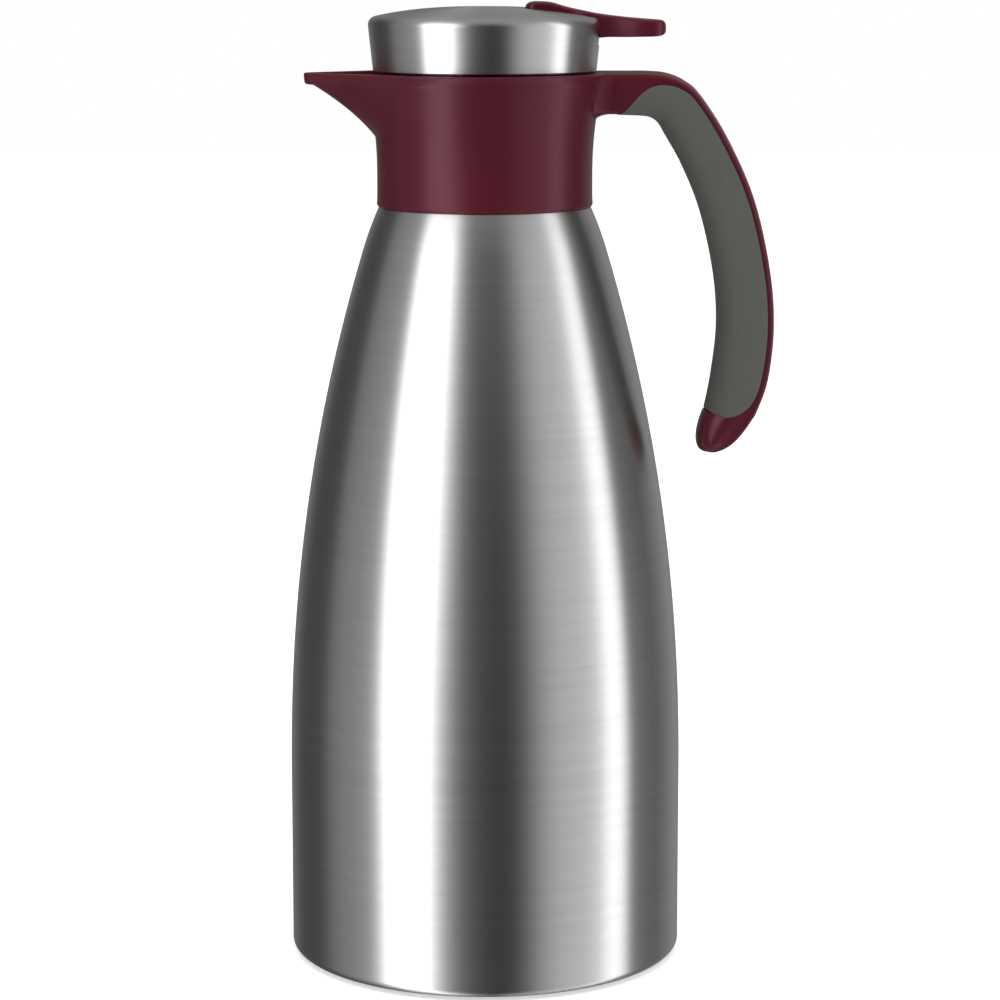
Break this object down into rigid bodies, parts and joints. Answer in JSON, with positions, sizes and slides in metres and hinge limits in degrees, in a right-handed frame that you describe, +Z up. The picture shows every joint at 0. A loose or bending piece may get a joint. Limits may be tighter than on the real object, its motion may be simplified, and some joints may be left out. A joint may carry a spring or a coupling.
{
  "type": "vacuum jug",
  "caption": "Double-walled steel pouring jug with a spouted plastic collar, a curved soft-grip handle and a steel-capped stopper whose thumb lever opens a sprung valve.",
  "frame": {"origin": "centre of the base pad's resting face, on the jug's axis", "axes": "+Z up along the jug's axis, +X towards the handle, -X towards the spout, so +Y is to the left of someone who looks from the handle to the spout"},
  "size_m": [0.1479, 0.1202, 0.2919],
  "materials": {
    "brushed_steel": "stainless steel brushed round the jug, fine horizontal grain",
    "liner_steel": "smooth polished stainless steel",
    "spring_steel": "bright drawn steel",
    "maroon_plastic": "satin moulded plastic, dark wine red",
    "soft_grip": "matt soft-touch rubber, warm grey",
    "dark_plastic": "matt black plastic",
    "pale_plastic": "plain off-white plastic",
    "silicone": "translucent grey silicone",
    "base_rubber": "matt black rubber"
  },
  "bodies": {
    "jug": {"outer_shell": "brushed_steel", "inner_liner": "liner_steel", "base_plate": "brushed_steel", "vacuum_port_seal": "spring_steel", "getter_tablet": "spring_steel", "base_pad": "base_rubber", "collar": "maroon_plastic", "neck_gasket": "silicone", "neck_lock_ring": "dark_plastic", "handle_frame": "maroon_plastic", "handle_grip": "soft_grip", "handle_screw_left": "spring_steel", "handle_screw_right": "spring_steel"},
    "lid_seal": {"stopper_gasket": "silicone"},
    "lid": {"lid_cover": "brushed_steel", "lid_body": "maroon_plastic", "stopper_plug": "dark_plastic", "stem_seal_ring": "silicone", "valve_spring": "spring_steel", "lever_pin": "spring_steel"},
    "lever": {"thumb_lever": "maroon_plastic"},
    "valve": {"valve_stem": "pale_plastic", "valve_disc": "pale_plastic", "valve_seal": "silicone"}
  },
  "joints": [
    {"name": "lid_lift", "type": "slide", "parent": "jug", "child": "lid_seal", "axis": [0, 0, 1], "range_m": [0, 0.07]},
    {"name": "lid_turn", "type": "hinge", "parent": "lid_seal", "child": "lid", "pos_m": [0, 0, 0.252], "axis": [0, 0, 1], "range_deg": [0, 90]},
    {"name": "lever_press", "type": "hinge", "parent": "lid", "child": "lever", "pos_m": [0.026, 0, 0.281], "axis": [0, 1, 0], "range_deg": [0, 12], "stiffness_Nm_per_rad": 0.37, "springref_deg": -7.73},
    {"name": "valve_lift", "type": "slide", "parent": "lid", "child": "valve", "axis": [0, 0, 1], "range_m": [0, 0.00547], "deforming": ["valve_spring"]}
  ],
  "couplings": [
    {"joint": "valve_lift", "follows": "lever_press", "m_per_rad": 0.0261}
  ]
}
